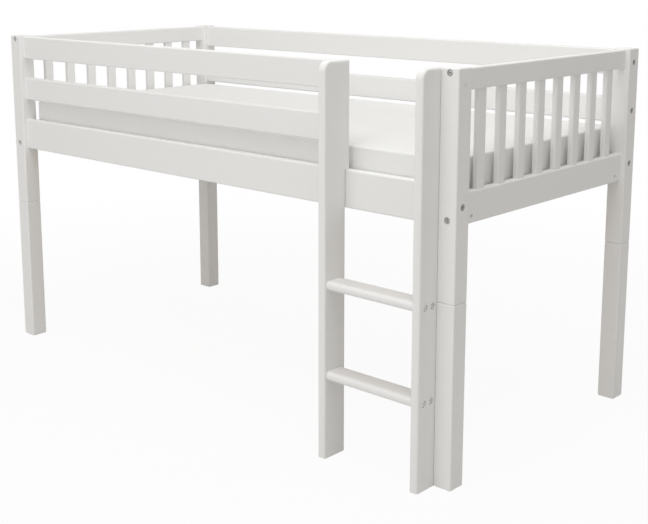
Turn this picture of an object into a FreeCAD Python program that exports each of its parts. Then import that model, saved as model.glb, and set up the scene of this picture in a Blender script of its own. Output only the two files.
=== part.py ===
import FreeCAD, Part
import math
import os
import re

import Sketcher

# A mid sleeper bed in painted timber: four posts standing on legs, two slatted ends, side rails with guard
# boards above them, a fixed ladder at the front, a slat base lying on cleats, and a mattress.
# Millimetres, +Z up, floor at Z = 0, ladder at -Y, origin in the middle of the floor area.

SIZES = {
    # Mattress, which the bed is built round
    "mattress_length": 2000,
    "mattress_width": 900,
    "mattress_gap": 6,
    "mattress_edge_height": 122,
    "mattress_crown": 9,
    "mattress_draw_in": 4,
    "mattress_hollow_margin": 22,
    "mattress_corner_radius": 60,
    "mattress_roll_radius": 8,
    "soft_clearance": 0.3,
    # Posts and the legs under them
    "post_size": 60,
    "post_edge_radius": 4,
    "post_end_radius": 4,
    "leg_length": 543,
    # Boards, all of one thickness and centred on the posts, stacked up from the space under the bed
    "board_thickness": 28,
    "board_edge_radius": 5,
    "rail_underside": 756,
    "side_rail_height": 114,
    "rail_guard_gap": 75.5,
    "guard_height": 84,
    "guard_gap": 73,
    "post_stand": 3.5,
    "end_top_rail_height": 60.5,
    "end_bottom_rail_height": 91,
    # Upright slats of the ends
    "end_slat_count": 8,
    "end_slat_width": 37,
    "end_slat_thickness": 18,
    "end_slat_corner": 5,
    "end_slat_margin": 66,
    "mortise_depth": 12,
    "mortise_clearance": 0.2,
    "mortise_end_gap": 0.5,
    # Ladder
    "ladder_reach": 76,
    "ladder_clear_width": 319,
    "stile_thickness": 28,
    "stile_hook": 18,
    "stile_edge_radius": 7,
    "stile_top_radius": 28,
    "rung_depth": 70,
    "rung_thickness": 28,
    "rung_edge_radius": 12,
    "rung_setback": 8,
    "first_rung_height": 259.5,
    "rung_rise": 276.5,
    "rung_bolt_spacing": 32,
    # Slat base
    "cleat_thickness": 28,
    "cleat_height": 36,
    "cleat_lift": 2,
    "cleat_end_gap": 2,
    "cleat_edge_radius": 3,
    "cleat_screw_count": 8,
    "cleat_screw_margin": 100,
    "bed_slat_count": 14,
    "bed_slat_width": 70,
    "bed_slat_thickness": 18,
    "bed_slat_edge_radius": 3,
    "bed_slat_end_gap": 6,
    "bed_slat_margin": 15,
    "strap_width": 30,
    "strap_thickness": 1.6,
    "strap_edge_radius": 0.6,
    "strap_spacing": 500,
    # Bolts, with barrel nuts in the boards and threaded inserts in the narrow rails and the rungs
    "bolt_diameter": 6,
    "bolt_head_diameter": 16,
    "bolt_head_thickness": 4,
    "bolt_head_clearance": 4,
    "bolt_socket_width": 5,
    "bolt_socket_depth": 3,
    "bolt_sink": 3,
    "bolt_overrun": 4,
    "end_top_bolt_drop": 9.5,
    "end_bottom_bolt_lift": 21,
    "nut_diameter": 10,
    "nut_length": 14,
    "nut_setback": 35,
    "nut_slot_width": 1.6,
    "nut_slot_depth": 1.5,
    "insert_diameter": 10,
    "insert_length": 18,
    # Studs, dowels, screws and the cap of the spare bolt hole
    "stud_diameter": 10,
    "stud_length": 80,
    "dowel_diameter": 8,
    "dowel_length": 30,
    "side_dowel_drop": 25,
    "end_dowel_offset": 30,
    "stile_dowel_spacing": 50,
    "screw_diameter": 4,
    "screw_length": 50,
    "screw_head_diameter": 8,
    "screw_head_thickness": 3,
    "screw_head_clearance": 0.4,
    "screw_socket_width": 2.5,
    "screw_socket_depth": 2,
    "screw_sink": 0.3,
    "fixing_screw_drop": 18,
    "fixing_screw_spacing": 20,
    "plug_diameter": 6,
    "plug_length": 12,
    "plug_head_diameter": 10,
    "plug_head_thickness": 1.6,
    "plug_head_clearance": 0.4,
    "plug_sink": 0.4,
    # Room round what is set into the timber
    "bore_clearance": 0.4,
    "dowel_clearance": 0.1,
    "bore_end_gap": 1,
}

# Places and sizes that follow from those above
PLACES = {
    "board_inset": "(post_size - board_thickness) / 2",
    "bay_border": "board_inset + board_thickness",
    "bay_width": "mattress_width + 2 * mattress_gap",
    "bed_length": "mattress_length + 2 * mattress_gap + 2 * bay_border",
    "bed_width": "bay_width + 2 * bay_border",
    "side_span": "bed_length - 2 * post_size",
    "end_span": "bed_width - 2 * post_size",
    "post_x": "(bed_length - post_size) / 2",
    "front": "(ladder_reach - bed_width) / 2",
    "back": "(ladder_reach + bed_width) / 2",
    "middle_y": "ladder_reach / 2",
    "front_y": "front + post_size / 2",
    "rear_y": "back - post_size / 2",
    "rail_top": "rail_underside + side_rail_height",
    "side_rail_z": "rail_underside + side_rail_height / 2",
    "guard_lower_z": "rail_top + rail_guard_gap + guard_height / 2",
    "guard_top_z": "guard_lower_z + guard_height + guard_gap",
    "board_top": "guard_top_z + guard_height / 2",
    "bed_height": "board_top + post_stand",
    "end_top_underside": "board_top - end_top_rail_height",
    "end_bottom_top": "rail_underside + end_bottom_rail_height",
    "end_top_bolt_z": "board_top - end_top_bolt_drop",
    "end_bottom_bolt_z": "rail_underside + end_bottom_bolt_lift",
    "end_slat_pitch": "(end_span - 2 * end_slat_margin - end_slat_width) / (end_slat_count - 1)",
    "stile_right_x": "(side_span - stile_thickness) / 2",
    "stile_left_x": "stile_right_x - stile_thickness - ladder_clear_width",
    "stile_depth": "ladder_reach + board_inset",
    "rail_face": "front + board_inset",
    "ladder_x": "(stile_left_x + stile_right_x) / 2",
    "guard_end": "stile_left_x - stile_thickness / 2",
    "rung_y": "front - ladder_reach + rung_setback + rung_depth / 2",
    "cleat_top": "rail_underside + cleat_lift + cleat_height",
    "cleat_z": "cleat_top - cleat_height / 2",
    "bed_slat_top": "cleat_top + bed_slat_thickness",
    "bed_slat_pitch": "(side_span - 2 * bed_slat_margin - bed_slat_width) / (bed_slat_count - 1)",
    "cleat_screw_pitch": "(side_span - 2 * cleat_screw_margin) / (cleat_screw_count - 1)",
    "mattress_underside": "bed_slat_top + soft_clearance",
    "nut_bolt_reach": "nut_setback + nut_diameter / 2 + bolt_overrun",
}

# The ends of the bed: the sign of their X, and the way from a post's outer side face to the bed's middle
ENDS = {"left": (-1, "+x"), "right": (1, "-x")}
# The rows of posts: their line, their outer face, and the way in from that face
ROWS = {"front": ("front_y", "front", "+y"), "rear": ("rear_y", "back", "-y")}

SECTION_PLANES = {"x": "YZ_Plane", "y": "XZ_Plane", "z": "XY_Plane"}
AXES = {"x": FreeCAD.Vector(1, 0, 0), "y": FreeCAD.Vector(0, 1, 0), "z": FreeCAD.Vector(0, 0, 1)}
SIDEWAYS = {"x": "+z", "y": "+z", "z": "+x"}
ROUNDEST = 0.48     # largest corner radius of a section, as a share of its side
FLAT = 1e-6         # an edge shorter than this along an axis lies square to that axis

doc = FreeCAD.newDocument("mid_sleeper_bed")
sheet = doc.addObject("Spreadsheet::Sheet", "sizes")
for line, (size_name, value) in enumerate(SIZES.items(), start=1):
    sheet.set(f"A{line}", size_name)
    sheet.set(f"B{line}", str(value))
    sheet.setAlias(f"B{line}", size_name)
doc.recompute()

centres = {}        # where each body's own origin stands, as formulas
groups = {}         # links that make up each group of like pieces


def formula(text):
    """Spell a formula out in the sheet's cells, working through the places that it names."""
    def spell(match):
        word = match.group()
        if word in PLACES:
            return f"({formula(PLACES[word])})"
        return f"sizes.{word}" if word in SIZES else word
    return re.sub(r"[a-z_]+", spell, text)


def bind(piece, **properties):
    """Tie an object's properties to formulas."""
    for name, text in properties.items():
        piece.setExpression(name, formula(text))


def place(piece, point):
    """Tie an object's position to three formulas."""
    for axis, text in zip("xyz", point):
        piece.setExpression(f"Placement.Base.{axis}", formula(text))


def opposite(direction):
    """The other way along the same axis: -x for +x."""
    return ("-" if direction[0] == "+" else "+") + direction[1]


def step(point, direction, distance):
    """The point at a distance from another along +x, -x, +y and so on."""
    moved = list(point)
    axis = "xyz".index(direction[1])
    moved[axis] = f"{moved[axis]} {direction[0]} ({distance})"
    return moved


def vector(direction):
    """The unit vector of a direction."""
    return AXES[direction[1]] * (1 if direction[0] == "+" else -1)


def turn(direction, across):
    """The rotation that lays Z along one direction and Y along another."""
    along_z = vector(direction)
    along_y = vector(across or SIDEWAYS[direction[1]])
    return FreeCAD.Rotation(along_y.cross(along_z), along_y, along_z, "ZYX")


def new_body(label, origin):
    """An empty body whose own origin stands at a point."""
    body = doc.addObject("PartDesign::Body", label)
    place(body, origin)
    centres[label] = origin
    return body


def new_sketch(body, role):
    """A sketch on one of a body's origin planes."""
    sketch = body.newObject("Sketcher::SketchObject", "sketch")
    plane = [feature for feature in body.Origin.OriginFeatures if feature.Role == role][0]
    sketch.AttachmentSupport = (plane, [""])
    sketch.MapMode = "FlatFace"
    return sketch


def dimension(sketch, name, text, *constraint):
    """Add a named dimension to a sketch and tie it to a formula."""
    sketch.renameConstraint(sketch.addConstraint(Sketcher.Constraint(*constraint)), name)
    sketch.setExpression(f"Constraints.{name}", formula(text))


def rounded_rectangle(sketch, wide, high, radius):
    """Draw a round-cornered rectangle about the sketch's origin: roughly first, then set by its sizes."""
    half, corner = 20.0, 5.0
    flat = half - corner
    for quarter in range(4):
        spin = FreeCAD.Rotation(AXES["z"], 90 * quarter)
        start, end, centre = [spin.multVec(FreeCAD.Vector(*point)) for point in
                              ((-flat, -half, 0), (flat, -half, 0), (flat, -flat, 0))]
        angle = (quarter - 1) * math.pi / 2
        sketch.addGeometry(Part.LineSegment(start, end), False)
        circle = Part.Circle(centre, AXES["z"], corner)
        sketch.addGeometry(Part.ArcOfCircle(circle, angle, angle + math.pi / 2), False)
    for piece in range(8):
        sketch.addConstraint(Sketcher.Constraint("Tangent", piece, 2, (piece + 1) % 8, 1))
    for side, rule in ((0, "Horizontal"), (4, "Horizontal"), (2, "Vertical"), (6, "Vertical")):
        sketch.addConstraint(Sketcher.Constraint(rule, side))
    for arc in (3, 5, 7):
        sketch.addConstraint(Sketcher.Constraint("Equal", 1, arc))
    sketch.addConstraint(Sketcher.Constraint("Symmetric", 1, 3, 5, 3, -1, 1))
    limited = f"min({radius}; {ROUNDEST} * ({wide}); {ROUNDEST} * ({high}))"
    dimension(sketch, "wide", wide, "DistanceX", 6, 1, 2, 1, 2 * half)
    dimension(sketch, "high", high, "DistanceY", 0, 1, 4, 1, 2 * half)
    dimension(sketch, "corner", limited, "Radius", 1, corner)


def plank(label, along, size, edge_radius, centre):
    """A straight piece of timber with rounded long edges, padded both ways from its centre."""
    body = new_body(label, centre)
    wide, high = [text for axis, text in zip("xyz", size) if axis != along]
    section = new_sketch(body, SECTION_PLANES[along])
    rounded_rectangle(section, wide, high, edge_radius)
    pad = body.newObject("PartDesign::Pad", "pad")
    pad.Profile = section
    pad.SideType = "Symmetric"
    bind(pad, Length=size["xyz".index(along)])
    return body


def round_edges(body, radius, chosen):
    """Round those edges of a body that a test picks out."""
    doc.recompute()
    base = body.Tip
    names = [f"Edge{number}" for number, edge in enumerate(base.Shape.Edges, start=1)
             if chosen(edge.BoundBox, base.Shape.BoundBox)]
    fillet = body.newObject("PartDesign::Fillet", "rounding")
    fillet.Base = (base, names)
    bind(fillet, Radius=radius)


def drill(body, direction, mouth, diameter, depth):
    """Bore a round hole into a body from a point on its face."""
    hole = body.newObject("PartDesign::SubtractiveCylinder", "hole")
    hole.Placement = FreeCAD.Placement(FreeCAD.Vector(), turn(direction, None))
    place(hole, [f"{at} - ({origin})" for at, origin in zip(mouth, centres[body.Label])])
    bind(hole, Radius=f"({diameter}) / 2", Height=depth)


def put(group, piece, direction, point, across=None):
    """Set a copy of a piece at a point, its length along a direction, as one of a group."""
    copy = doc.addObject("App::Link", f"{group}_copy")
    copy.LinkedObject = piece
    copy.Placement = FreeCAD.Placement(FreeCAD.Vector(), turn(direction, across))
    place(copy, point)
    groups.setdefault(group, []).append(copy)


def bar(name, diameter, length, start="0"):
    """A round bar that runs up Z."""
    rod = doc.addObject("Part::Cylinder", name)
    bind(rod, Radius=f"({diameter}) / 2", Height=length)
    place(rod, ("0", "0", start))
    return rod


def combine(kind, name, base, tool):
    """A Part::Fuse or Part::Cut of two shapes."""
    result = doc.addObject(f"Part::{kind}", name)
    result.Base = base
    result.Tool = tool
    return result


def headed(kind, name, length, socket=True):
    """A bolt, screw or plug that points up Z from the outer face of its head."""
    head = bar(f"{name}_head", f"{kind}_head_diameter", f"{kind}_head_thickness")
    shank = bar(f"{name}_shank", f"{kind}_diameter", f"{length} - {kind}_head_thickness",
                f"{kind}_head_thickness")
    whole = combine("Fuse", f"{name}_blank", head, shank)
    if not socket:
        return whole
    hexagon = doc.addObject("Part::Prism", f"{name}_socket")
    hexagon.Polygon = 6
    bind(hexagon, Circumradius=f"{kind}_socket_width / 3 ^ 0.5", Height=f"{kind}_socket_depth")
    return combine("Cut", name, whole, hexagon)


def set_in(kind, piece, group, body, thickness, direction, face):
    """Counterbore and drill a body for a bolt, screw or plug, set it in, and give the hole's far end."""
    head_room = f"{kind}_head_diameter + {kind}_head_clearance"
    drill(body, direction, face, head_room, f"{kind}_sink + {kind}_head_thickness")
    drill(body, direction, face, f"{kind}_diameter + bore_clearance", thickness)
    put(group, piece, direction, step(face, direction, f"{kind}_sink"))
    return step(face, direction, thickness)


def fit_barrel_nut(group, board, inward, seam, cross):
    """Bore a board's end for a bolt, and its face for the barrel nut that the bolt pulls on."""
    drill(board, inward, seam, "bolt_diameter + bore_clearance", "nut_bolt_reach + bore_end_gap")
    crossing = step(seam, inward, "nut_setback")
    mouth = step(crossing, opposite(cross), "board_thickness / 2")
    drill(board, cross, mouth, "nut_diameter + bore_clearance", "(board_thickness + nut_length) / 2")
    put(group, barrel_nut, cross, step(crossing, opposite(cross), "nut_length / 2"), inward)


def fit_insert(group, board, inward, seam):
    """Bore a board's end for a threaded insert and set it in flush."""
    drill(board, inward, seam, "insert_diameter + bore_clearance", "insert_length + bore_end_gap")
    put(group, insert_nut, inward, seam)


def fit_dowel(group, first, second, direction, seam):
    """Bore two pieces on either side of their seam and set a dowel across it."""
    depth = "dowel_length / 2 + bore_end_gap"
    drill(first, opposite(direction), seam, "dowel_diameter + dowel_clearance", depth)
    drill(second, direction, seam, "dowel_diameter + dowel_clearance", depth)
    put(group, dowel, direction, step(seam, opposite(direction), "dowel_length / 2"))


# Fasteners: one of each kind, which the joints copy
nut_bolt = headed("bolt", "nut_bolt", "post_size - bolt_sink + nut_bolt_reach")
rail_bolt = headed("bolt", "rail_bolt", "post_size - bolt_sink + insert_length")
rung_bolt = headed("bolt", "rung_bolt", "stile_thickness - bolt_sink + insert_length")
screw = headed("screw", "screw", "screw_length")
plug = headed("plug", "plug", "plug_length", socket=False)
stud = bar("stud", "stud_diameter", "stud_length")
dowel = bar("dowel", "dowel_diameter", "dowel_length")
insert_nut = combine("Cut", "insert_nut", bar("insert_blank", "insert_diameter", "insert_length"),
                     bar("insert_thread", "bolt_diameter + bore_clearance", "insert_length"))

# A barrel nut: its thread crosses it at mid-length along Y, and a slot in its end shows that way
nut_thread = bar("nut_thread", "bolt_diameter + bore_clearance", "2 * nut_diameter")
nut_thread.Placement = FreeCAD.Placement(FreeCAD.Vector(), FreeCAD.Rotation(AXES["x"], -90))
place(nut_thread, ("0", "-nut_diameter", "nut_length / 2"))
nut_slot = doc.addObject("Part::Box", "nut_slot")
bind(nut_slot, Length="nut_slot_width", Width="2 * nut_diameter", Height="nut_slot_depth")
place(nut_slot, ("-nut_slot_width / 2", "-nut_diameter", "0"))
threaded_nut = combine("Cut", "threaded_nut", bar("nut_blank", "nut_diameter", "nut_length"), nut_thread)
barrel_nut = combine("Cut", "barrel_nut", threaded_nut, nut_slot)

# Posts on legs: the same square section with softened ends, pinned end to end by a stud
posts = {}
for row, (row_y, face_y, row_inward) in ROWS.items():
    for end, (sign, end_inward) in ENDS.items():
        post_x = f"{sign} * post_x"
        post = plank(f"post_{row}_{end}", "z", ("post_size", "post_size", "bed_height - leg_length"),
                     "post_edge_radius", (post_x, row_y, "(bed_height + leg_length) / 2"))
        leg = plank(f"leg_{row}_{end}", "z", ("post_size", "post_size", "leg_length"),
                    "post_edge_radius", (post_x, row_y, "leg_length / 2"))
        seam = (post_x, row_y, "leg_length")
        for piece, away in ((post, "+z"), (leg, "-z")):
            round_edges(piece, "post_end_radius", lambda edge, whole: edge.ZLength < FLAT)
            drill(piece, away, seam, "stud_diameter + bore_clearance", "stud_length / 2 + bore_end_gap")
        put("leg_joint_studs", stud, "+z", step(seam, "-z", "stud_length / 2"))
        posts[row, end] = post


def cut_mortises(rail, rail_height, upward):
    """Sink a row of mortises for the upright slats into the edge of an end rail."""
    mortise = new_sketch(rail, "XY_Plane")
    rounded_rectangle(mortise, "end_slat_thickness + mortise_clearance",
                      "end_slat_width + mortise_clearance", "end_slat_corner")
    edge = f"-{rail_height} / 2" if upward else f"{rail_height} / 2"
    mortise.setExpression("AttachmentOffset.Base.y", formula("-end_slat_pitch * (end_slat_count - 1) / 2"))
    mortise.setExpression("AttachmentOffset.Base.z", formula(edge))
    pocket = rail.newObject("PartDesign::Pocket", "mortise")
    pocket.Profile = mortise
    pocket.Reversed = upward
    bind(pocket, Length="mortise_depth + mortise_end_gap")
    row_of_mortises = rail.newObject("PartDesign::LinearPattern", "mortises")
    row_of_mortises.Originals = [pocket]
    row_of_mortises.Direction = (mortise, ["V_Axis"])
    bind(row_of_mortises, Length="end_slat_pitch * (end_slat_count - 1)", Occurrences="end_slat_count")
    rail.Tip = row_of_mortises


# Ends: a top and a bottom rail bolted between the posts, with upright slats let into both
for end, (sign, end_inward) in ENDS.items():
    end_x = f"{sign} * post_x"
    top_rail = plank(f"end_top_rail_{end}", "y", ("board_thickness", "end_span", "end_top_rail_height"),
                     "board_edge_radius", (end_x, "middle_y", "board_top - end_top_rail_height / 2"))
    bottom_rail = plank(f"end_bottom_rail_{end}", "y",
                        ("board_thickness", "end_span", "end_bottom_rail_height"), "board_edge_radius",
                        (end_x, "middle_y", "rail_underside + end_bottom_rail_height / 2"))
    cut_mortises(top_rail, "end_top_rail_height", upward=True)
    cut_mortises(bottom_rail, "end_bottom_rail_height", upward=False)
    for number in range(1, SIZES["end_slat_count"] + 1):
        plank(f"end_slat_{end}_{number}", "z",
              ("end_slat_thickness", "end_slat_width",
               "end_top_underside - end_bottom_top + 2 * mortise_depth"), "end_slat_corner",
              (end_x, f"middle_y + end_slat_pitch * ({number} - (end_slat_count + 1) / 2)",
               "(end_top_underside + end_bottom_top) / 2"))
    for row, (row_y, face_y, row_inward) in ROWS.items():
        post = posts[row, end]
        top_seam = set_in("bolt", rail_bolt, "end_rail_bolts", post, "post_size", row_inward,
                          (end_x, face_y, "end_top_bolt_z"))
        fit_insert("insert_nuts", top_rail, row_inward, top_seam)
        fit_dowel("end_rail_dowels", post, top_rail, row_inward, step(top_seam, "-z", "end_dowel_offset"))
        bottom_seam = set_in("bolt", nut_bolt, "end_rail_bolts", post, "post_size", row_inward,
                             (end_x, face_y, "end_bottom_bolt_z"))
        fit_barrel_nut("end_rail_barrel_nuts", bottom_rail, row_inward, bottom_seam, end_inward)
        fit_dowel("end_rail_dowels", post, bottom_rail, row_inward,
                  step(bottom_seam, "+z", "end_dowel_offset"))


def side_board(label, row, height, centre_z, right_end, bolted_ends):
    """A board along the bed from the left posts, bolted and dowelled to posts at the ends that are named,
    with its barrel nuts let in from behind."""
    row_y, face_y, row_inward = ROWS[row]
    board = plank(label, "x", (f"{right_end} + side_span / 2", "board_thickness", height),
                  "board_edge_radius", (f"({right_end} - side_span / 2) / 2", row_y, centre_z))
    for end in bolted_ends:
        sign, end_inward = ENDS[end]
        post = posts[row, end]
        seam = set_in("bolt", nut_bolt, "side_board_bolts", post, "post_size", end_inward,
                      (f"{sign} * bed_length / 2", row_y, centre_z))
        fit_barrel_nut("side_board_barrel_nuts", board, end_inward, seam, "-y")
        fit_dowel("side_board_dowels", post, board, end_inward, step(seam, "-z", "side_dowel_drop"))
    return board


# Sides: rails and guard boards; at the front the guards stop at the ladder's left stile
front_rail = side_board("front_side_rail", "front", "side_rail_height", "side_rail_z", "side_span / 2", ENDS)
back_rail = side_board("back_side_rail", "rear", "side_rail_height", "side_rail_z", "side_span / 2", ENDS)
front_guards = {}
for level in ("lower", "top"):
    level_z = f"guard_{level}_z"
    side_board(f"back_guard_{level}_board", "rear", "guard_height", level_z, "side_span / 2", ENDS)
    front_guards[level_z] = side_board(f"front_guard_{level}_board", "front", "guard_height", level_z,
                                       "guard_end", ["left"])
set_in("plug", plug, "bolt_hole_plug", posts["front", "right"], "plug_length + bore_end_gap", "-x",
       ("bed_length / 2", "front_y", "guard_top_z"))


def ladder_stile(label, stile_x):
    """A stile, drawn from the side roughly first and then set by its sizes: a plank with a round top corner,
    notched to hook over the side rail."""
    body = new_body(label, (stile_x, "rail_face", "0"))
    sketch = new_sketch(body, "YZ_Plane")
    corners = [FreeCAD.Vector(*point, 0) for point in
               ((-90, 0), (-90, 1160), (-60, 1190), (20, 1190), (20, 870), (0, 870), (0, 0))]
    round_corner = Part.Circle(FreeCAD.Vector(-60, 1160, 0), AXES["z"], 30)
    for number, corner in enumerate(corners):
        if number == 1:
            sketch.addGeometry(Part.ArcOfCircle(round_corner, math.pi / 2, math.pi), False)
        else:
            sketch.addGeometry(Part.LineSegment(corner, corners[(number + 1) % 7]), False)
    front_line, corner_arc, top_line, hook_line, notch_line, rear_line, foot_line = range(7)
    sketch.addConstraint(Sketcher.Constraint("Tangent", front_line, 2, corner_arc, 2))
    sketch.addConstraint(Sketcher.Constraint("Tangent", corner_arc, 1, top_line, 1))
    for line in (top_line, hook_line, notch_line, rear_line, foot_line):
        sketch.addConstraint(Sketcher.Constraint("Coincident", line, 2, (line + 1) % 7, 1))
    for line in (front_line, hook_line, rear_line):
        sketch.addConstraint(Sketcher.Constraint("Vertical", line))
    for line in (top_line, notch_line, foot_line):
        sketch.addConstraint(Sketcher.Constraint("Horizontal", line))
    sketch.addConstraint(Sketcher.Constraint("Coincident", rear_line, 2, -1, 1))
    dimension(sketch, "depth", "stile_depth", "DistanceX", foot_line, 2, foot_line, 1, 90)
    dimension(sketch, "seat", "rail_top", "DistanceY", rear_line, 2, rear_line, 1, 870)
    dimension(sketch, "hook", "stile_hook", "DistanceX", notch_line, 2, notch_line, 1, 20)
    dimension(sketch, "height", "bed_height", "DistanceY", foot_line, 1, top_line, 2, 1190)
    dimension(sketch, "corner", "stile_top_radius", "Radius", corner_arc, 30)
    pad = body.newObject("PartDesign::Pad", "pad")
    pad.Profile = sketch
    pad.SideType = "Symmetric"
    bind(pad, Length="stile_thickness")
    round_edges(body, "stile_edge_radius", lambda edge, whole: edge.XLength < FLAT and
                (edge.ZLength > FLAT or edge.ZMin > whole.ZMax - FLAT))
    return body


# Ladder: two stiles hooked over the front rail and screwed to it from inside, with two rungs bolted between
stiles = {}
for end, (sign, end_inward) in ENDS.items():
    stile_x = f"stile_{end}_x"
    stiles[end] = ladder_stile(f"ladder_stile_{end}", stile_x)
    for drop in ("fixing_screw_drop", "fixing_screw_drop + fixing_screw_spacing"):
        inner_face = (stile_x, "rail_face + board_thickness", f"rail_top - ({drop})")
        stile_seam = set_in("screw", screw, "ladder_fixing_screws", front_rail, "board_thickness", "-y",
                            inner_face)
        drill(stiles[end], "-y", stile_seam, "screw_diameter + bore_clearance",
              "screw_length - board_thickness + bore_end_gap")
for level_z, guard in front_guards.items():
    for half in (-1, 1):
        seam = ("guard_end", "rail_face + stile_hook / 2", f"{level_z} + {half} * stile_dowel_spacing / 2")
        fit_dowel("stile_dowels", guard, stiles["left"], "+x", seam)
for name, rung_z in (("lower", "first_rung_height"), ("upper", "first_rung_height + rung_rise")):
    rung = plank(f"ladder_rung_{name}", "x", ("ladder_clear_width", "rung_depth", "rung_thickness"),
                 "rung_edge_radius", ("ladder_x", "rung_y", rung_z))
    for end, (sign, end_inward) in ENDS.items():
        for half in (-1, 1):
            outer_face = (f"stile_{end}_x + {sign} * stile_thickness / 2",
                          f"rung_y + {half} * rung_bolt_spacing / 2", rung_z)
            seam = set_in("bolt", rung_bolt, "rung_bolts", stiles[end], "stile_thickness", end_inward,
                          outer_face)
            fit_insert("insert_nuts", rung, end_inward, seam)

# Slat base: cleats screwed inside the rails carry the slats, which two webbing straps hold at their spacing
for name, rail, inner_face, inward in (("front", front_rail, "front + bay_border", "+y"),
                                       ("back", back_rail, "back - bay_border", "-y")):
    centre = step(("0", inner_face, "cleat_z"), inward, "cleat_thickness / 2")
    cleat = plank(f"{name}_cleat", "x",
                  ("side_span - 2 * cleat_end_gap", "cleat_thickness", "cleat_height"),
                  "cleat_edge_radius", centre)
    for number in range(1, SIZES["cleat_screw_count"] + 1):
        screw_x = f"cleat_screw_pitch * ({number} - (cleat_screw_count + 1) / 2)"
        cleat_face = step((screw_x, inner_face, "cleat_z"), inward, "cleat_thickness")
        rail_seam = set_in("screw", screw, "cleat_screws", cleat, "cleat_thickness", opposite(inward),
                           cleat_face)
        drill(rail, opposite(inward), rail_seam, "screw_diameter + bore_clearance",
              "screw_length - cleat_thickness + bore_end_gap")
bed_slat = plank("bed_slat", "y",
                 ("bed_slat_width", "bay_width - 2 * bed_slat_end_gap", "bed_slat_thickness"),
                 "bed_slat_edge_radius", ("0", "0", "0"))
for number in range(1, SIZES["bed_slat_count"] + 1):
    slat_x = f"bed_slat_pitch * ({number} - (bed_slat_count + 1) / 2)"
    put("bed_slats", bed_slat, "+z", (slat_x, "middle_y", "cleat_top + bed_slat_thickness / 2"), "+y")
for name, half in (("front", -1), ("back", 1)):
    plank(f"slat_strap_{name}", "x",
          ("bed_slat_pitch * (bed_slat_count - 1) + bed_slat_width", "strap_width", "strap_thickness"),
          "strap_edge_radius",
          ("0", f"middle_y + {half} * strap_spacing / 2", "cleat_top - strap_thickness / 2"))


def cut_through(body, sketch):
    """Cut a sketch's outline right through a body, both ways."""
    pocket = body.newObject("PartDesign::Pocket", "cut")
    pocket.Profile = sketch
    pocket.Type = "ThroughAll"
    pocket.SideType = "Symmetric"


def cut_crown(body, role, wide):
    """Take away what stands above a shallow arch from one side of the mattress to the other: an outline
    drawn roughly first and then set by its sizes."""
    half, side, rise = 450.0, 120.0, 9.0
    sketch = new_sketch(body, role)
    corners = [FreeCAD.Vector(*point, 0) for point in
               ((-half, side), (-half, 2 * side), (half, 2 * side), (half, side))]
    for start, end in zip(corners, corners[1:]):
        sketch.addGeometry(Part.LineSegment(start, end), False)
    sketch.addGeometry(Part.Arc(corners[3], FreeCAD.Vector(0, side + rise, 0), corners[0]), False)
    left_line, top_line, right_line, arch = range(4)
    for line in range(4):
        sketch.addConstraint(Sketcher.Constraint("Coincident", line, 2, (line + 1) % 4, 1))
    for line in (left_line, right_line):
        sketch.addConstraint(Sketcher.Constraint("Vertical", line))
    sketch.addConstraint(Sketcher.Constraint("Symmetric", top_line, 1, top_line, 2, -2))
    sketch.addConstraint(Sketcher.Constraint("Equal", left_line, right_line))
    dimension(sketch, "wide", wide, "DistanceX", top_line, 1, top_line, 2, 2 * half)
    dimension(sketch, "edge", "mattress_edge_height", "DistanceY", -1, 1, right_line, 2, side)
    dimension(sketch, "room", "2 * mattress_crown", "DistanceY", right_line, 2, right_line, 1, side)
    dimension(sketch, "arch", f"({wide} ^ 2 / 4 + mattress_crown ^ 2) / (2 * mattress_crown)",
              "Radius", arch, (half ** 2 + rise ** 2) / (2 * rise))
    cut_through(body, sketch)


def draw_in(body, role, wide):
    """Hollow two opposite sides of the mattress a little between their rolled edges: two slim outlines, each
    a chord and an arc, drawn roughly first and then set by their sizes."""
    half, low, high, hollow = 450.0, 22.0, 100.0, 4.0
    sketch = new_sketch(body, role)
    tall = "(mattress_edge_height - 2 * mattress_hollow_margin)"
    for number, side in enumerate((-1, 1)):
        chord, arc = 2 * number, 2 * number + 1
        foot, head = FreeCAD.Vector(side * half, low, 0), FreeCAD.Vector(side * half, high, 0)
        middle = FreeCAD.Vector(side * (half - hollow), (low + high) / 2, 0)
        lower, upper = (2, 1) if side < 0 else (1, 2)
        ends = (head, foot) if side < 0 else (foot, head)
        sketch.addGeometry(Part.LineSegment(*ends), False)
        sketch.addGeometry(Part.Arc(foot, middle, head), False)
        sketch.addConstraint(Sketcher.Constraint("Coincident", chord, 1, arc, 2))
        sketch.addConstraint(Sketcher.Constraint("Coincident", chord, 2, arc, 1))
        sketch.addConstraint(Sketcher.Constraint("Vertical", chord))
        from_middle = (-1, 1, chord, lower) if side > 0 else (chord, lower, -1, 1)
        dimension(sketch, f"half_{number}", f"{wide} / 2", "DistanceX", *from_middle, half)
        dimension(sketch, f"margin_{number}", "mattress_hollow_margin",
                  "DistanceY", -1, 1, chord, lower, low)
        dimension(sketch, f"tall_{number}", tall, "DistanceY", chord, lower, chord, upper, high - low)
        dimension(sketch, f"hollow_{number}",
                  f"({tall} ^ 2 / 4 + mattress_draw_in ^ 2) / (2 * mattress_draw_in)", "Radius", arc,
                  ((high - low) ** 2 / 4 + hollow ** 2) / (2 * hollow))
    cut_through(body, sketch)


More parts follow.
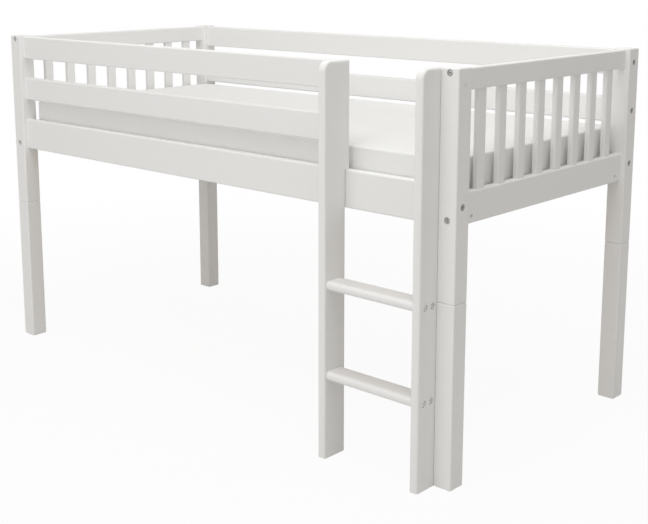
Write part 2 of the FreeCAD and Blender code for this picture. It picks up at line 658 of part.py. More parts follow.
# Mattress: crowned both ways on top, with rolled edges and sides that draw in between them
mattress = new_body("mattress", ("0", "middle_y", "mattress_underside"))
plan = new_sketch(mattress, "XY_Plane")
rounded_rectangle(plan, "mattress_length", "mattress_width", "mattress_corner_radius")
filling = mattress.newObject("PartDesign::Pad", "filling")
filling.Profile = plan
bind(filling, Length="mattress_edge_height + mattress_crown")
mattress_sides = (("YZ_Plane", "mattress_width"), ("XZ_Plane", "mattress_length"))
for role, wide in mattress_sides:
    cut_crown(mattress, role, wide)
round_edges(mattress, "mattress_roll_radius", lambda edge, whole:
            min(edge.XLength, edge.YLength) < SIZES["mattress_corner_radius"] + FLAT and
            (edge.ZMax < whole.ZMin + FLAT or edge.ZMin > whole.ZMin + FLAT))
for role, wide in mattress_sides:
    draw_in(mattress, role, wide)

for label, copies in groups.items():
    group = doc.addObject("Part::Compound", label)
    group.Links = copies
doc.recompute()

# A piece that only lends its shape to copies isn't written by itself
pieces = [item for item in doc.Objects if item.TypeId in ("PartDesign::Body", "Part::Compound")
          and not any(user.TypeId == "App::Link" for user in item.InList)]
faults = [item.Label for item in doc.Objects if "Invalid" in item.State or "Error" in item.State]
faults += [item.Label for item in pieces if item.Shape.isNull() or not item.Shape.isValid()]
if faults:
    raise RuntimeError(f"these pieces failed: {', '.join(faults)}")
os.makedirs("parts", exist_ok=True)
for item in pieces:
    item.Shape.exportStep(f"parts/{item.Label}.step")
print(f"{len(pieces)} pieces written")
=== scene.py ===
import math

import bpy
import numpy as np
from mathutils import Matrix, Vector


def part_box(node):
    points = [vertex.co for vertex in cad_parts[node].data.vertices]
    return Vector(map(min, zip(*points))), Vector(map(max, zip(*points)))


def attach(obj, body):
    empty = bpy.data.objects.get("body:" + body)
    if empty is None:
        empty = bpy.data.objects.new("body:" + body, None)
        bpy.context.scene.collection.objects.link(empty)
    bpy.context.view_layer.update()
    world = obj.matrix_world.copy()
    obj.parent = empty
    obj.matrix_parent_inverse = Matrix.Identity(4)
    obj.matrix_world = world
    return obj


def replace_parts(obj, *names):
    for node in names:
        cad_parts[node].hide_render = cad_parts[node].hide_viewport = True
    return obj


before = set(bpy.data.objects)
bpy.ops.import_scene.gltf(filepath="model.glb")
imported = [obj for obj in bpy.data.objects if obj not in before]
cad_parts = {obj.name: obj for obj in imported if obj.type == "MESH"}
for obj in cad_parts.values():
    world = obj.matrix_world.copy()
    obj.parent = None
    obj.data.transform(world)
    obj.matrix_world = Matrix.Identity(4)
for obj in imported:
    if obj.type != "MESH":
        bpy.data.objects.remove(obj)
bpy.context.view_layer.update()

# Posts and legs
# Four square posts in solid timber, each standing on a leg of the same section, with a seam where they
# meet. They are planed, their edges eased, and sprayed with a white satin lacquer that hides all but a
# hint of the grain.


def shader_node(tree, kind, sockets=None, **settings):
    """One shader node: settings by attribute, and sockets by name or number.

    Each socket is given a value or another node's output.
    """
    made = tree.nodes.new("ShaderNode" + kind)
    for key, value in settings.items():
        setattr(made, key, value)
    for key, value in (sockets or {}).items():
        if isinstance(value, bpy.types.NodeSocket):
            tree.links.new(value, made.inputs[key])
        else:
            made.inputs[key].default_value = value
    return made


def fresh_surface(name, **constants):
    """A new material with a Principled surface; sockets that stay the same all over are set here."""
    surface = bpy.data.materials.new(name)
    surface.use_nodes = True
    tree = surface.node_tree
    tree.nodes.clear()
    sockets = {key.replace("_", " "): value for key, value in constants.items()}
    shade = shader_node(tree, "BsdfPrincipled", sockets)
    shader_node(tree, "OutputMaterial", {"Surface": shade.outputs["BSDF"]})
    return surface, tree, shade


def along(tree, run, lengthwise):
    """Object coordinates scaled along one axis only: a small scale draws noise out along it."""
    here = shader_node(tree, "TexCoord").outputs["Object"]
    stretch = [lengthwise if axis == run else 1.0 for axis in "xyz"]
    return shader_node(tree, "Mapping", {"Vector": here, "Scale": stretch}).outputs["Vector"]


def noise(tree, vector, scale, detail, roughness=0.5):
    """Soft noise from 0 to 1 on the given coordinates."""
    sockets = {"Vector": vector, "Scale": scale, "Detail": detail, "Roughness": roughness}
    return shader_node(tree, "TexNoise", sockets).outputs["Fac"]


def spread(tree, value, low, high, to_low, to_high):
    """Maps low to high onto to_low to to_high, and holds what is outside."""
    sockets = {"Value": value, "From Min": low, "From Max": high, "To Min": to_low, "To Max": to_high}
    return shader_node(tree, "MapRange", sockets).outputs["Result"]


def blend_colours(tree, amount, first, second):
    """Goes from the first colour to the second as the amount goes from 0 to 1.

    The Mix node takes colours at its sockets 6 and 7, and gives one at its output 2.
    """
    return shader_node(tree, "Mix", {0: amount, 6: first, 7: second}, data_type="RGBA").outputs[2]


def raise_by(tree, height, distance, strength, under=None):
    """Bump of a height from 0 to 1 over a distance in metres, on top of another bump."""
    sockets = {"Height": height, "Distance": distance, "Strength": strength}
    if under is not None:
        sockets["Normal"] = under
    return shader_node(tree, "Bump", sockets).outputs["Normal"]


def satin_lacquer(run):
    """White satin lacquer over timber whose grain runs along one axis.

    Colour: a clean white that goes a little warmer along drawn-out noise, the grain under the coat, and
    once more on eased edges, where the coat is thinner: the normal averaged over the easing leans away
    from the face's own there. Roughness: satin, duller where the spray lies thicker. Bump: grain lines
    under a fine orange peel.
    """
    surface, tree, shade = fresh_surface("white_satin_lacquer_" + run, IOR=1.42)
    grain = noise(tree, along(tree, run, 0.035), scale=420.0, detail=3.0, roughness=0.6)
    figure = noise(tree, along(tree, run, 0.06), scale=34.0, detail=2.0)
    peel = noise(tree, along(tree, run, 1.0), scale=620.0, detail=2.0)
    clouds = noise(tree, along(tree, run, 0.4), scale=9.0, detail=2.0)
    white, warm, thin = (0.872, 0.867, 0.859, 1), (0.848, 0.840, 0.828, 1), (0.832, 0.820, 0.802, 1)
    tone = blend_colours(tree, spread(tree, figure, 0.35, 0.75, 0.0, 0.25), white, warm)
    tone = blend_colours(tree, spread(tree, grain, 0.52, 0.80, 0.0, 0.20), tone, warm)
    own = shader_node(tree, "NewGeometry").outputs["Normal"]
    eased = shader_node(tree, "Bevel", {"Radius": 0.004}, samples=4).outputs["Normal"]
    lean = shader_node(tree, "VectorMath", {0: own, 1: eased}, operation="DOT_PRODUCT").outputs["Value"]
    tone = blend_colours(tree, spread(tree, lean, 0.99, 0.86, 0.0, 0.5), tone, thin)
    tree.links.new(tone, shade.inputs["Base Color"])
    tree.links.new(spread(tree, clouds, 0.3, 0.7, 0.48, 0.58), shade.inputs["Roughness"])
    lines = raise_by(tree, grain, distance=0.00025, strength=0.20)
    skin = raise_by(tree, peel, distance=0.00012, strength=0.30, under=lines)
    tree.links.new(skin, shade.inputs["Normal"])
    return surface


def finish_nodes(surface, *names):
    """Gives these CAD nodes the finish in place of the one that they came with."""
    for name in names:
        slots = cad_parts[name].data.materials
        slots.clear()
        slots.append(surface)


lacquer_upright = satin_lacquer("z")
for corner in ("front_left", "front_right", "rear_left", "rear_right"):
    finish_nodes(lacquer_upright, "post_" + corner, "leg_" + corner)

# Ends
# Each end is a frame of two rails between the posts, with eight flat upright slats let into both.
# The rails' grain runs across the bed and the slats' grain upright, under the same lacquer.

lacquer_across = satin_lacquer("y")
end_slat_count = 8
for side in ("left", "right"):
    finish_nodes(lacquer_across, "end_top_rail_" + side, "end_bottom_rail_" + side)
    finish_nodes(lacquer_upright, *[f"end_slat_{side}_{number + 1}" for number in range(end_slat_count)])

# Side boards
# The side rails carry the slat base, and two guard boards above each keep the sleeper in. At the front
# they stop at the ladder. Their long edges are rounded over, and their grain runs along the bed.

lacquer_along = satin_lacquer("x")
for board in ("side_rail", "guard_lower_board", "guard_top_board"):
    finish_nodes(lacquer_along, "front_" + board, "back_" + board)

# Ladder
# Two stiles with rounded heads hook over the front rail, and two flat rungs are bolted between them.
# Like the rest, they are lacquered before they are put together.

finish_nodes(lacquer_upright, "ladder_stile_left", "ladder_stile_right")
finish_nodes(lacquer_along, "ladder_rung_lower", "ladder_rung_upper")

# Bolts, nuts, inserts, studs and screws
# Turned and pressed steel with a zinc coat: flat bolt heads with a hexagon socket, cross-drilled barrel
# nuts, inserts, studs in the leg seams and the ladder's and cleats' screws. The side boards' bolts get
# the same zinc painted darker as shade, and the rungs' bolts the same zinc painted lighter as a
# reflection.


def zinc_coat(name, fresh, dulled):
    """Zinc on steel: metal with faint cloudy patches of a duller grey, scuffed so its gloss is uneven."""
    surface, tree, shade = fresh_surface(name, Metallic=1.0)
    patches = noise(tree, along(tree, "x", 1.0), scale=160.0, detail=3.0)
    scuffs = noise(tree, along(tree, "z", 0.2), scale=900.0, detail=2.0)
    tone = blend_colours(tree, spread(tree, patches, 0.35, 0.7, 0.0, 1.0), fresh, dulled)
    tree.links.new(tone, shade.inputs["Base Color"])
    tree.links.new(spread(tree, scuffs, 0.3, 0.7, 0.28, 0.44), shade.inputs["Roughness"])
    tree.links.new(raise_by(tree, scuffs, distance=0.00005, strength=0.4), shade.inputs["Normal"])
    return surface


zinc = zinc_coat("bright_zinc", (0.60, 0.60, 0.59, 1), (0.44, 0.44, 0.435, 1))
finish_nodes(zinc, "end_rail_bolts", "end_rail_barrel_nuts", "side_board_barrel_nuts", "insert_nuts",
             "leg_joint_studs", "ladder_fixing_screws", "cleat_screws")
# Same zinc, darker: painted shade on the side boards' bolt heads.
finish_nodes(zinc_coat("zinc_darkened_as_painted_shade", (0.34, 0.34, 0.335, 1), (0.24, 0.24, 0.238, 1)), "side_board_bolts")
# Same zinc, lighter: a painted reflection on the rungs' bolt heads.
finish_nodes(zinc_coat("zinc_lightened_as_painted_reflection", (0.84, 0.84, 0.83, 1), (0.70, 0.70, 0.69, 1)), "rung_bolts")

# Dowels
# Plain beech pegs beside the bolts keep each board from turning, and others join the front guard boards
# to the ladder. They are hidden once the bed is together.


def beech_peg():
    """Pale pinkish beech with short dark flecks, drawn out along the peg by stretched noise."""
    surface, tree, shade = fresh_surface("beech", Roughness=0.6)
    flecks = noise(tree, along(tree, "x", 0.15), scale=900.0, detail=2.0)
    pale, dark = (0.63, 0.43, 0.27, 1), (0.48, 0.30, 0.18, 1)
    tone = blend_colours(tree, spread(tree, flecks, 0.45, 0.7, 0.0, 1.0), pale, dark)
    tree.links.new(tone, shade.inputs["Base Color"])
    tree.links.new(raise_by(tree, flecks, distance=0.0001, strength=0.5), shade.inputs["Normal"])
    return surface


finish_nodes(beech_peg(), "end_rail_dowels", "side_board_dowels", "stile_dowels")

# Cover cap
# A small moulded cap pressed into the spare bolt hole of the front right post. It is white like the
# lacquer, and a little shinier.


def moulded_cap():
    """White moulded plastic: even colour with a hint of flow marks, and a fine spark-eroded skin."""
    surface, tree, shade = fresh_surface("white_moulded_cap", IOR=1.49)
    flow = noise(tree, along(tree, "y", 0.4), scale=240.0, detail=2.0)
    skin = noise(tree, along(tree, "y", 1.0), scale=2600.0, detail=1.0)
    clean, marked = (0.78, 0.77, 0.755, 1), (0.75, 0.74, 0.725, 1)
    tone = blend_colours(tree, spread(tree, flow, 0.3, 0.7, 0.0, 1.0), clean, marked)
    tree.links.new(tone, shade.inputs["Base Color"])
    tree.links.new(spread(tree, skin, 0.3, 0.7, 0.36, 0.46), shade.inputs["Roughness"])
    tree.links.new(raise_by(tree, skin, distance=0.00004, strength=0.4), shade.inputs["Normal"])
    return surface


finish_nodes(moulded_cap(), "bolt_hole_plug")

# Cleats and bed slats
# Planed pine left bare: a cleat screwed inside each side rail, and fourteen slats laid across the two.
# The slats' faces show the growth rings as long soft bands, with a few small knots.


def bands(tree, vector, scale, direction, distortion=0.0, detail_scale=1.0):
    """Soft bands from 0 to 1 on the given coordinates, square to an axis or to the diagonal."""
    sockets = {"Vector": vector, "Scale": scale, "Distortion": distortion, "Detail Scale": detail_scale}
    return shader_node(tree, "TexWave", sockets, bands_direction=direction).outputs["Fac"]


def bare_pine(run):
    """Planed pine with its grain along one axis.

    Rings: a sine of the distance across the board, bent by slow noise, so bands wander along the board.
    Late wood is the darker part of each ring. Fine fibre comes from strongly drawn-out noise, and small
    knots from the cells of a wide Voronoi pattern, dark at each centre.
    """
    surface, tree, shade = fresh_surface("bare_pine_" + run, IOR=1.45)
    bend = noise(tree, along(tree, run, 0.12), scale=22.0, detail=3.0)
    fibre = noise(tree, along(tree, run, 0.02), scale=700.0, detail=3.0, roughness=0.65)
    rings = bands(tree, along(tree, run, 0.08), 26.0, "DIAGONAL", distortion=7.0, detail_scale=1.2)
    sockets = {"Vector": along(tree, run, 0.45), "Scale": 5.5}
    cell = shader_node(tree, "TexVoronoi", sockets).outputs["Distance"]
    early, late, knot = (0.71, 0.54, 0.34, 1), (0.56, 0.37, 0.19, 1), (0.27, 0.125, 0.05, 1)
    tone = blend_colours(tree, spread(tree, rings, 0.45, 1.0, 0.0, 0.75), early, late)
    tone = blend_colours(tree, spread(tree, fibre, 0.5, 0.8, 0.0, 0.5), tone, late)
    tone = blend_colours(tree, spread(tree, bend, 0.3, 0.7, 0.0, 0.25), tone, late)
    tone = blend_colours(tree, spread(tree, cell, 0.06, 0.03, 0.0, 0.85), tone, knot)
    tree.links.new(tone, shade.inputs["Base Color"])
    tree.links.new(spread(tree, fibre, 0.3, 0.7, 0.52, 0.66), shade.inputs["Roughness"])
    ridges = raise_by(tree, rings, distance=0.0002, strength=0.25)
    planed = raise_by(tree, fibre, distance=0.0002, strength=0.4, under=ridges)
    tree.links.new(planed, shade.inputs["Normal"])
    return surface


finish_nodes(bare_pine("x"), "front_cleat", "back_cleat")
finish_nodes(bare_pine("y"), "bed_slats")

# Slat straps
# Two woven polyester tapes under the slats keep their spacing, so the slats roll up as one. Each tape is
# stapled to every slat and hangs a little slack between them.

slat_low, slat_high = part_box("bed_slats")
slat_count, slat_width = 14, 0.070
slat_middles = np.linspace(slat_low.x + slat_width / 2, slat_high.x - slat_width / 2, slat_count)
slat_gap = slat_middles[1] - slat_middles[0] - slat_width


def mesh_piece(name, points, faces, surface, smooth=True):
    """A mesh object at the origin from an array of points and an array of four-cornered faces."""
    mesh = bpy.data.meshes.new(name)
    mesh.from_pydata(points.tolist(), [], faces.tolist())
    mesh.polygons.foreach_set("use_smooth", np.full(len(faces), smooth))
    mesh.materials.append(surface)
    mesh.update()
    made = bpy.data.objects.new(name, mesh)
    bpy.context.scene.collection.objects.link(made)
    return made


def tube_faces(stations, ring):
    """Faces of a closed ring of points carried along stations; strips across the ring close each end."""
    first, around = np.meshgrid(np.arange(stations - 1), np.arange(ring), indexing="ij")
    there = (around + 1) % ring
    walls = np.stack([first * ring + around, first * ring + there,
                      (first + 1) * ring + there, (first + 1) * ring + around], -1).reshape(-1, 4)
    step = np.arange(ring // 2 - 1)
    lid = np.stack([step, ring - 1 - step, ring - 2 - step, step + 1], -1)
    return np.concatenate([walls, lid, lid[:, ::-1] + (stations - 1) * ring])


def tape_points(low, high):
    """A flat woven tape under the slats.

    Along: x runs from end to end. Height: flush with the slats' underside on a slat, and lower by a
    raised cosine that is deepest in the middle of each gap. Across: a rounded oblong, ribbed by a small
    cosine.
    """
    per_gap, slack, across, thinner, clearance = 16, 0.0022, 21, 0.86, 0.0001
    squareness, rib_count, rib_depth = 14, 9, 0.00012
    x = np.linspace(low.x, high.x, per_gap * 2 * slat_count)
    from_slat = np.abs(x[:, None] - slat_middles[None]).min(1)
    into_gap = np.clip((from_slat - slat_width / 2) / (slat_gap / 2), 0.0, 1.0)
    drop = slack * 0.5 * (1.0 - np.cos(np.pi * into_gap))
    half_wide, half_thick = (high.y - low.y) / 2, (high.z - low.z) / 2 * thinner
    sweep = np.cos(np.linspace(np.pi, 0.0, across))
    ribs = rib_depth * (np.cos(rib_count * np.pi * sweep) - 1.0)
    upper = half_thick * (1.0 - np.abs(sweep) ** squareness) + ribs
    ring_y = np.concatenate([sweep, sweep[::-1]]) * half_wide + (low.y + high.y) / 2
    ring_z = np.concatenate([-upper, upper[::-1]]) + high.z - half_thick - clearance
    points = np.empty((len(x), len(ring_y), 3))
    points[..., 0] = x[:, None]
    points[..., 1] = ring_y[None]
    points[..., 2] = ring_z[None] - drop[:, None]
    return points


def combine(tree, operation, first, second):
    """One value from two: their product, or the larger one, as the operation says."""
    return shader_node(tree, "Math", {0: first, 1: second}, operation=operation).outputs[0]


def woven_tape():
    """Grey-white polyester tape: fine crossing yarns from two waves with painted shade between them, and
    the odd darker yarn along.
    """
    surface, tree, shade = fresh_surface("woven_tape", Roughness=0.85, Sheen_Weight=0.2)
    here = shader_node(tree, "TexCoord").outputs["Object"]
    weft = bands(tree, here, scale=230.0, direction="X")
    warp = bands(tree, here, scale=190.0, direction="Y")
    yarn = combine(tree, "MULTIPLY", weft, warp)
    streak = noise(tree, along(tree, "x", 0.01), scale=500.0, detail=1.0)
    # The first colour is painted shade, darkening the gaps between the yarns.
    shade_between_threads, crest, darker = (0.36, 0.35, 0.33, 1), (0.62, 0.61, 0.58, 1), (0.44, 0.43, 0.41, 1)
    tone = blend_colours(tree, spread(tree, yarn, 0.0, 0.5, 0.0, 1.0), shade_between_threads, crest)
    tone = blend_colours(tree, spread(tree, streak, 0.5, 0.7, 0.0, 0.5), tone, darker)
    tree.links.new(tone, shade.inputs["Base Color"])
    tree.links.new(raise_by(tree, yarn, distance=0.0003, strength=0.6), shade.inputs["Normal"])
    return surface


tape_weave = woven_tape()
for side in ("front", "back"):
    node = "slat_strap_" + side
    points = tape_points(*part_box(node))
    faces = tube_faces(*points.shape[:2])
    tape = mesh_piece(f"slat_tape_{side}", points.reshape(-1, 3), faces, tape_weave)
    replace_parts(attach(tape, "slat_base"), node)

# Staples
# Two wire staples hold each tape to each slat. Their crowns lie flat against the tape, and their legs
# turn up into the wood.


def staple_points(middle):
    """A staple's crown: a flat wire carried along a shallow arch whose two legs turn up into the slat."""
    half_crown, half_wide, half_thick, bend, leg = 0.0052, 0.0006, 0.00035, 0.0008, 0.0022
    turn = np.linspace(0.0, np.pi / 2, 4)
    bend_y = half_crown - bend + bend * np.sin(turn)
    bend_z = bend - bend * np.cos(turn)
    path_y = np.concatenate([[-half_crown], -bend_y[::-1], bend_y, [half_crown]])
    path_z = np.concatenate([[leg], bend_z[::-1], bend_z, [leg]])
    ring_x = np.array([1, -1, -1, 1]) * half_wide
    ring_z = np.array([-1, -1, 1, 1]) * half_thick
    points = np.empty((len(path_y), 4, 3))
    points[..., 0] = middle[0] + ring_x[None]
    points[..., 1] = middle[1] + path_y[:, None]
    points[..., 2] = middle[2] + path_z[:, None] + ring_z[None]
    return points


from_middle, into_tape = 0.016, 0.0001
staples = []
for side in ("front", "back"):
    low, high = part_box("slat_strap_" + side)
    staples += [staple_points((x + shift, (low.y + high.y) / 2, low.z + into_tape))
                for x in slat_middles for shift in (-from_middle, from_middle)]
staples = np.array(staples)
count, stations, ring = staples.shape[:3]
one = tube_faces(stations, ring)
faces = (one[None] + np.arange(count)[:, None, None] * stations * ring).reshape(-1, 4)
wire = mesh_piece("strap_staples", staples.reshape(-1, 3), faces, zinc, smooth=False)
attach(wire, "slat_base")

# Mattress
# A foam mattress in a plain white knitted cover: a little crowned on top, flat underneath, where it lies
# on the slats, and round-cornered in plan. Tape sewn inside its edges keeps them straight while the faces
# between them swell.

mattress_low, mattress_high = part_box("mattress")
tiny = 1e-9


def even_stations(half):
    """Places from -half to half, 17 mm apart, and closer at both ends, where the edge is rolled."""
    rim = np.array([0.0, 0.0018, 0.0038, 0.0064, 0.0100, 0.0170])
    pitch = rim[-1]
    inner = half - pitch
    middle = np.linspace(-inner, inner, int(round(2 * inner / pitch)) + 1)
    return np.concatenate([-half + rim[:-1], middle, half - rim[:-1][::-1]])


def foam_shell(size_x, size_y, size_z):
    """The mattress before its cover swells: a box of grid lines, rounded in plan and along its edges.

    Plan: each corner square becomes a quarter disc, s * sqrt(1 - t^2 / 2) and t * sqrt(1 - s^2 / 2) in
    corner units. Edge: the same map turns the square edge into a quarter roll, with the distances from
    the border and from the face. Crown: heights grow by a product of two parabolas. Draw: sides move in
    by a cosine, with none at the corners. The last result marks the points of the taped edges.
    """
    corner, roll, crown, draw, tape = 0.060, 0.0065, 0.0055, 0.0025, 0.011
    fullness, sharpness = 0.6, 5
    half_x, half_y = size_x / 2, size_y / 2
    axes = even_stations(half_x), even_stations(half_y), even_stations(size_z / 2)
    counts = [len(axis) for axis in axes]
    lattice = np.stack(np.meshgrid(*axes, indexing="ij"), -1)
    rank = np.full(counts, -1)
    skin = np.ones(counts, bool)
    skin[1:-1, 1:-1, 1:-1] = False
    rank[skin] = np.arange(skin.sum())
    xy, z = lattice[skin][:, :2].copy(), lattice[skin][:, 2].copy()
    core = np.array([half_x - corner, half_y - corner])
    unit = np.clip((np.abs(xy) - core) / corner, 0.0, None)
    turned = unit * np.sqrt(1.0 - unit[:, ::-1] ** 2 / 2)
    xy = np.where(unit > 0, np.sign(xy) * (core + corner * turned), xy)
    beyond = np.abs(xy) - core
    out = np.clip(beyond, 0.0, None)
    far = np.linalg.norm(out, axis=1)
    inward = corner - far - np.minimum(beyond.max(1), 0.0)
    side_on = np.where(beyond[:, :1] > beyond[:, 1:], [[1.0, 0.0]], [[0.0, 1.0]])
    normal = np.where(out.any(1)[:, None], out / np.maximum(far, tiny)[:, None], side_on)
    normal *= np.sign(xy)
    below = size_z / 2 - np.abs(z)
    s, t = np.clip(1 - inward / roll, 0, 1), np.clip(1 - below / roll, 0, 1)
    rolled = (s > 0) & (t > 0)
    moved_in = np.where(rolled, roll - roll * s * np.sqrt(1 - t ** 2 / 2), inward)
    moved_down = np.where(rolled, roll - roll * t * np.sqrt(1 - s ** 2 / 2), below)
    xy -= normal * (moved_in - inward)[:, None]
    z = np.sign(z) * (size_z / 2 - moved_down)
    part_x, part_y = xy[:, 0] / half_x, xy[:, 1] / half_y
    lift = (z + size_z / 2) / size_z
    hollow = np.cos(np.pi / 2 * np.clip(np.stack([part_y, part_x], -1), -1, 1)) ** fullness
    xy -= draw * hollow * np.stack([part_x, part_y], -1) ** sharpness
    z += size_z / 2 + crown * lift * (1 - part_x ** 2) * (1 - part_y ** 2)
    sheets = []
    for axis in range(3):
        for end in (0, -1):
            face = np.take(rank, end, axis)
            quads = np.stack([face[:-1, :-1], face[1:, :-1], face[1:, 1:], face[:-1, 1:]], -1)
            quads = quads.reshape(-1, 4)
            sheets.append(quads if (end == -1) != (axis == 1) else quads[:, ::-1])
    taped = np.flatnonzero((inward < tape) & (below < tape))
    return np.column_stack([xy, z]), np.concatenate(sheets), taped


def knitted_cover():
    """White knitted ticking: a fine knit with painted shade in the hollows between stitches, soft cloudy
    tone and a sheen.

    Knit: a wave of x + z, the ribs, times a wave of y + z, the courses, so lines cross on every face.
    """
    surface, tree, shade = fresh_surface("knitted_cover", Sheen_Weight=0.12, Sheen_Roughness=0.5, IOR=1.4)
    here = shader_node(tree, "TexCoord").outputs["Object"]
    waves = []
    for axes, scale in (((1, 0, 1), 300.0), ((0, 1, 1), 380.0)):
        onto = shader_node(tree, "Mapping", {"Vector": here, "Scale": axes}).outputs["Vector"]
        waves.append(bands(tree, onto, scale, "DIAGONAL", distortion=0.6, detail_scale=3.0))
    stitch = combine(tree, "MULTIPLY", *waves)
    clouds = noise(tree, here, scale=6.0, detail=3.0)
    # The third colour is painted shade, darkening the hollows between the stitches.
    white, cloudy, shade_between_threads = (0.862, 0.859, 0.849, 1), (0.842, 0.839, 0.828, 1), (0.70, 0.695, 0.68, 1)
    tone = blend_colours(tree, spread(tree, clouds, 0.3, 0.7, 0.0, 1.0), white, cloudy)
    tone = blend_colours(tree, spread(tree, stitch, 0.55, 0.05, 0.0, 0.12), tone, shade_between_threads)
    tree.links.new(tone, shade.inputs["Base Color"])
    tree.links.new(spread(tree, clouds, 0.3, 0.7, 0.78, 0.9), shade.inputs["Roughness"])
    tree.links.new(raise_by(tree, stitch, distance=0.0004, strength=0.20), shade.inputs["Normal"])
    return surface


foam_height, above_slats = 0.125, 0.0005
across_size = mattress_high - mattress_low
points, faces, taped = foam_shell(across_size.x, across_size.y, foam_height)
points += [(mattress_low.x + mattress_high.x) / 2, (mattress_low.y + mattress_high.y) / 2,
           mattress_low.z + above_slats]
mattress = mesh_piece("mattress_cover", points, faces, knitted_cover())

# Cloth under a little pressure swells the cover while its taped edges are held. No point moves by more
# than a set amount.
steps, most = 20, 0.0025
edge_tape = mattress.vertex_groups.new(name="edge_tape")
edge_tape.add(taped.tolist(), 1.0, "REPLACE")
cloth = mattress.modifiers.new("swell", "CLOTH")
fabric = cloth.settings
fabric.vertex_group_mass = edge_tape.name
fabric.quality = 5
fabric.mass = 0.3
fabric.tension_stiffness = fabric.compression_stiffness = 25.0
fabric.shear_stiffness = 8.0
fabric.bending_stiffness = 2.0
fabric.use_pressure = True
fabric.uniform_pressure_force = 4.0
fabric.effector_weights.gravity = 0.0
cloth.point_cache.frame_start, cloth.point_cache.frame_end = 1, steps
for step in range(1, steps + 1):
    bpy.context.scene.frame_set(step)
swollen = mattress.evaluated_get(bpy.context.evaluated_depsgraph_get()).to_mesh()
settled = np.empty(len(points) * 3)
swollen.vertices.foreach_get("co", settled)
mattress.modifiers.remove(cloth)
bpy.context.scene.frame_set(1)
moved = settled.reshape(-1, 3) - points
length = np.linalg.norm(moved, axis=1, keepdims=True)
points = points + moved * np.minimum(1.0, most / np.maximum(length, tiny))

# The cover keeps within a margin of the foam's own box, and just off the slats.
margin, off_slats = 0.001, 0.0002
low, high = np.array(mattress_low), np.array(mattress_high)
height = points[:, 2] - low[2]
points[:, 2] = low[2] + height * min(1.0, (high[2] - low[2] + margin) / height.max())
points = np.clip(points, low + [-margin, -margin, off_slats], high + margin)
mattress.data.vertices.foreach_set("co", points.ravel())
mattress.data.update()
soften = mattress.modifiers.new("soften", "SUBSURF")
soften.levels = soften.render_levels = 1
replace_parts(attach(mattress, "mattress"), "mattress")

# Studio
# A plain white floor that keeps a faint shadow, an even pale surround, and three large soft lamps: one at
# the front, one high at the front right and one overhead.

turns, rings = 96, np.array([1.5, 3.0, 6.0, 14.0, 40.0])
around = np.linspace(0, 2 * np.pi, turns, endpoint=False)
spokes = rings[:, None, None] * np.stack([np.cos(around), np.sin(around)], -1)[None]
floor_points = np.concatenate([np.zeros((1, 3)), np.pad(spokes.reshape(-1, 2), ((0, 0), (0, 1)))])
level, place = np.meshgrid(np.arange(len(rings) - 1), np.arange(turns), indexing="ij")
beside = (place + 1) % turns
floor_faces = 1 + np.stack([level * turns + place, (level + 1) * turns + place,
                            (level + 1) * turns + beside, level * turns + beside], -1).reshape(-1, 4)
spoke = np.arange(0, turns, 2)
hub_faces = np.stack([0 * spoke, 1 + spoke, 2 + spoke, 1 + (spoke + 2) % turns], -1)
floor_faces = np.concatenate([floor_faces, hub_faces])


def seen_directly(tree):
    """1 on rays straight from the camera, a gloss or a see-through surface, and 0 on scattered light."""
    ray = shader_node(tree, "LightPath").outputs
    seen = combine(tree, "MAXIMUM", ray["Is Camera Ray"], ray["Is Glossy Ray"])
    return combine(tree, "MAXIMUM", seen, ray["Is Transmission Ray"])


floor_white = bpy.data.materials.new("studio_floor")
floor_white.use_nodes = True
tree = floor_white.node_tree
tree.nodes.clear()
here = shader_node(tree, "TexCoord").outputs["Object"]
away = shader_node(tree, "VectorMath", {0: here}, operation="LENGTH").outputs["Value"]
fade = spread(tree, away, 1.6, 3.4, 0.94, 1.0)
share = combine(tree, "MULTIPLY", seen_directly(tree), fade)
matt = shader_node(tree, "BsdfDiffuse", {"Color": (0.72, 0.72, 0.715, 1)}).outputs[0]
white = shader_node(tree, "Emission", {"Color": (1, 1, 1, 1), "Strength": 1.0}).outputs[0]
both = shader_node(tree, "MixShader", {0: share, 1: matt, 2: white}).outputs[0]
shader_node(tree, "OutputMaterial", {"Surface": both})
mesh_piece("studio_floor", floor_points, floor_faces, floor_white)

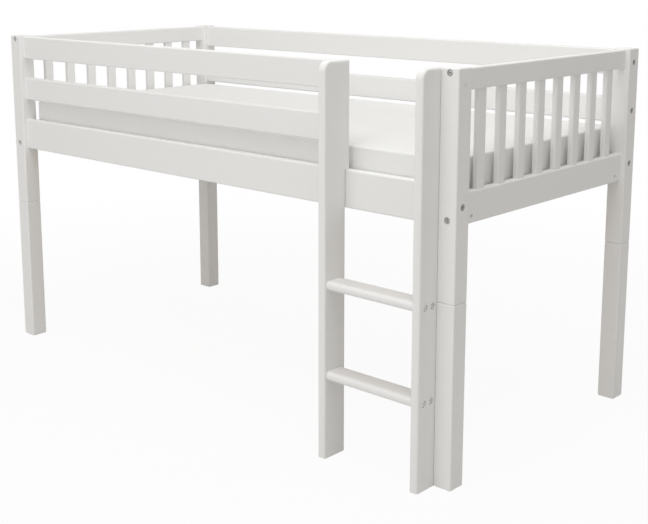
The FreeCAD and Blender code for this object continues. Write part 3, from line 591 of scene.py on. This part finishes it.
surround = bpy.data.worlds.new("studio_surround")
surround.use_nodes = True
bpy.context.scene.world = surround
tree = surround.node_tree
tree.nodes.clear()
pale = shader_node(tree, "Background", {"Color": (1.0, 0.968, 0.925, 1), "Strength": 0.508}).outputs[0]
white = shader_node(tree, "Background", {"Color": (1, 1, 1, 1), "Strength": 1.0}).outputs[0]
both = shader_node(tree, "MixShader", {0: seen_directly(tree), 1: pale, 2: white}).outputs[0]
shader_node(tree, "OutputWorld", {"Surface": both})


def soft_lamp(name, place, aim, size, power):
    """A square lamp at a place, turned so that it looks at a point."""
    lamp = bpy.data.lights.new(name, "AREA")
    lamp.size, lamp.energy, lamp.color = size, power, (0.965, 0.985, 1.0)
    stand = bpy.data.objects.new(name, lamp)
    stand.location = place
    way = np.array(aim) - np.array(place)
    tilt = math.atan2(way[2], math.hypot(way[0], way[1])) + math.pi / 2
    turn = math.atan2(way[1], way[0]) - math.pi / 2
    stand.rotation_euler = (tilt, 0.0, turn)
    bpy.context.scene.collection.objects.link(stand)


soft_lamp("front_lamp", place=(0.0, -4.8, 2.0), aim=(-0.2, -0.4, 0.6), size=3.0, power=41.0)
soft_lamp("high_lamp", place=(1.3, -1.8, 4.6), aim=(-0.1, -0.3, 0.7), size=3.0, power=64.0)
soft_lamp("overhead_lamp", place=(0.1, 0.0, 4.2), aim=(0.1, 0.001, 0.9), size=2.4, power=25.0)

# Camera
# The photograph's own angle, from the front right and a little above the bed. It looks down a little, and
# a small shift makes up the rest of the photograph's framing.

look_down, look_left = 10.638, 42.269
lens = bpy.data.cameras.new("camera")
lens.lens, lens.sensor_width = 63.489, 36.0
lens.shift_x, lens.shift_y = 0.00279, -0.13
lens.dof.use_dof = False
viewer = bpy.data.objects.new("camera", lens)
viewer.location = (2.7973, -2.9185, 1.4615)
viewer.rotation_euler = (math.radians(90 - look_down), 0.0, math.radians(look_left))
bpy.context.scene.collection.objects.link(viewer)
bpy.context.scene.camera = viewer
bpy.context.scene.view_settings.view_transform = "Standard"
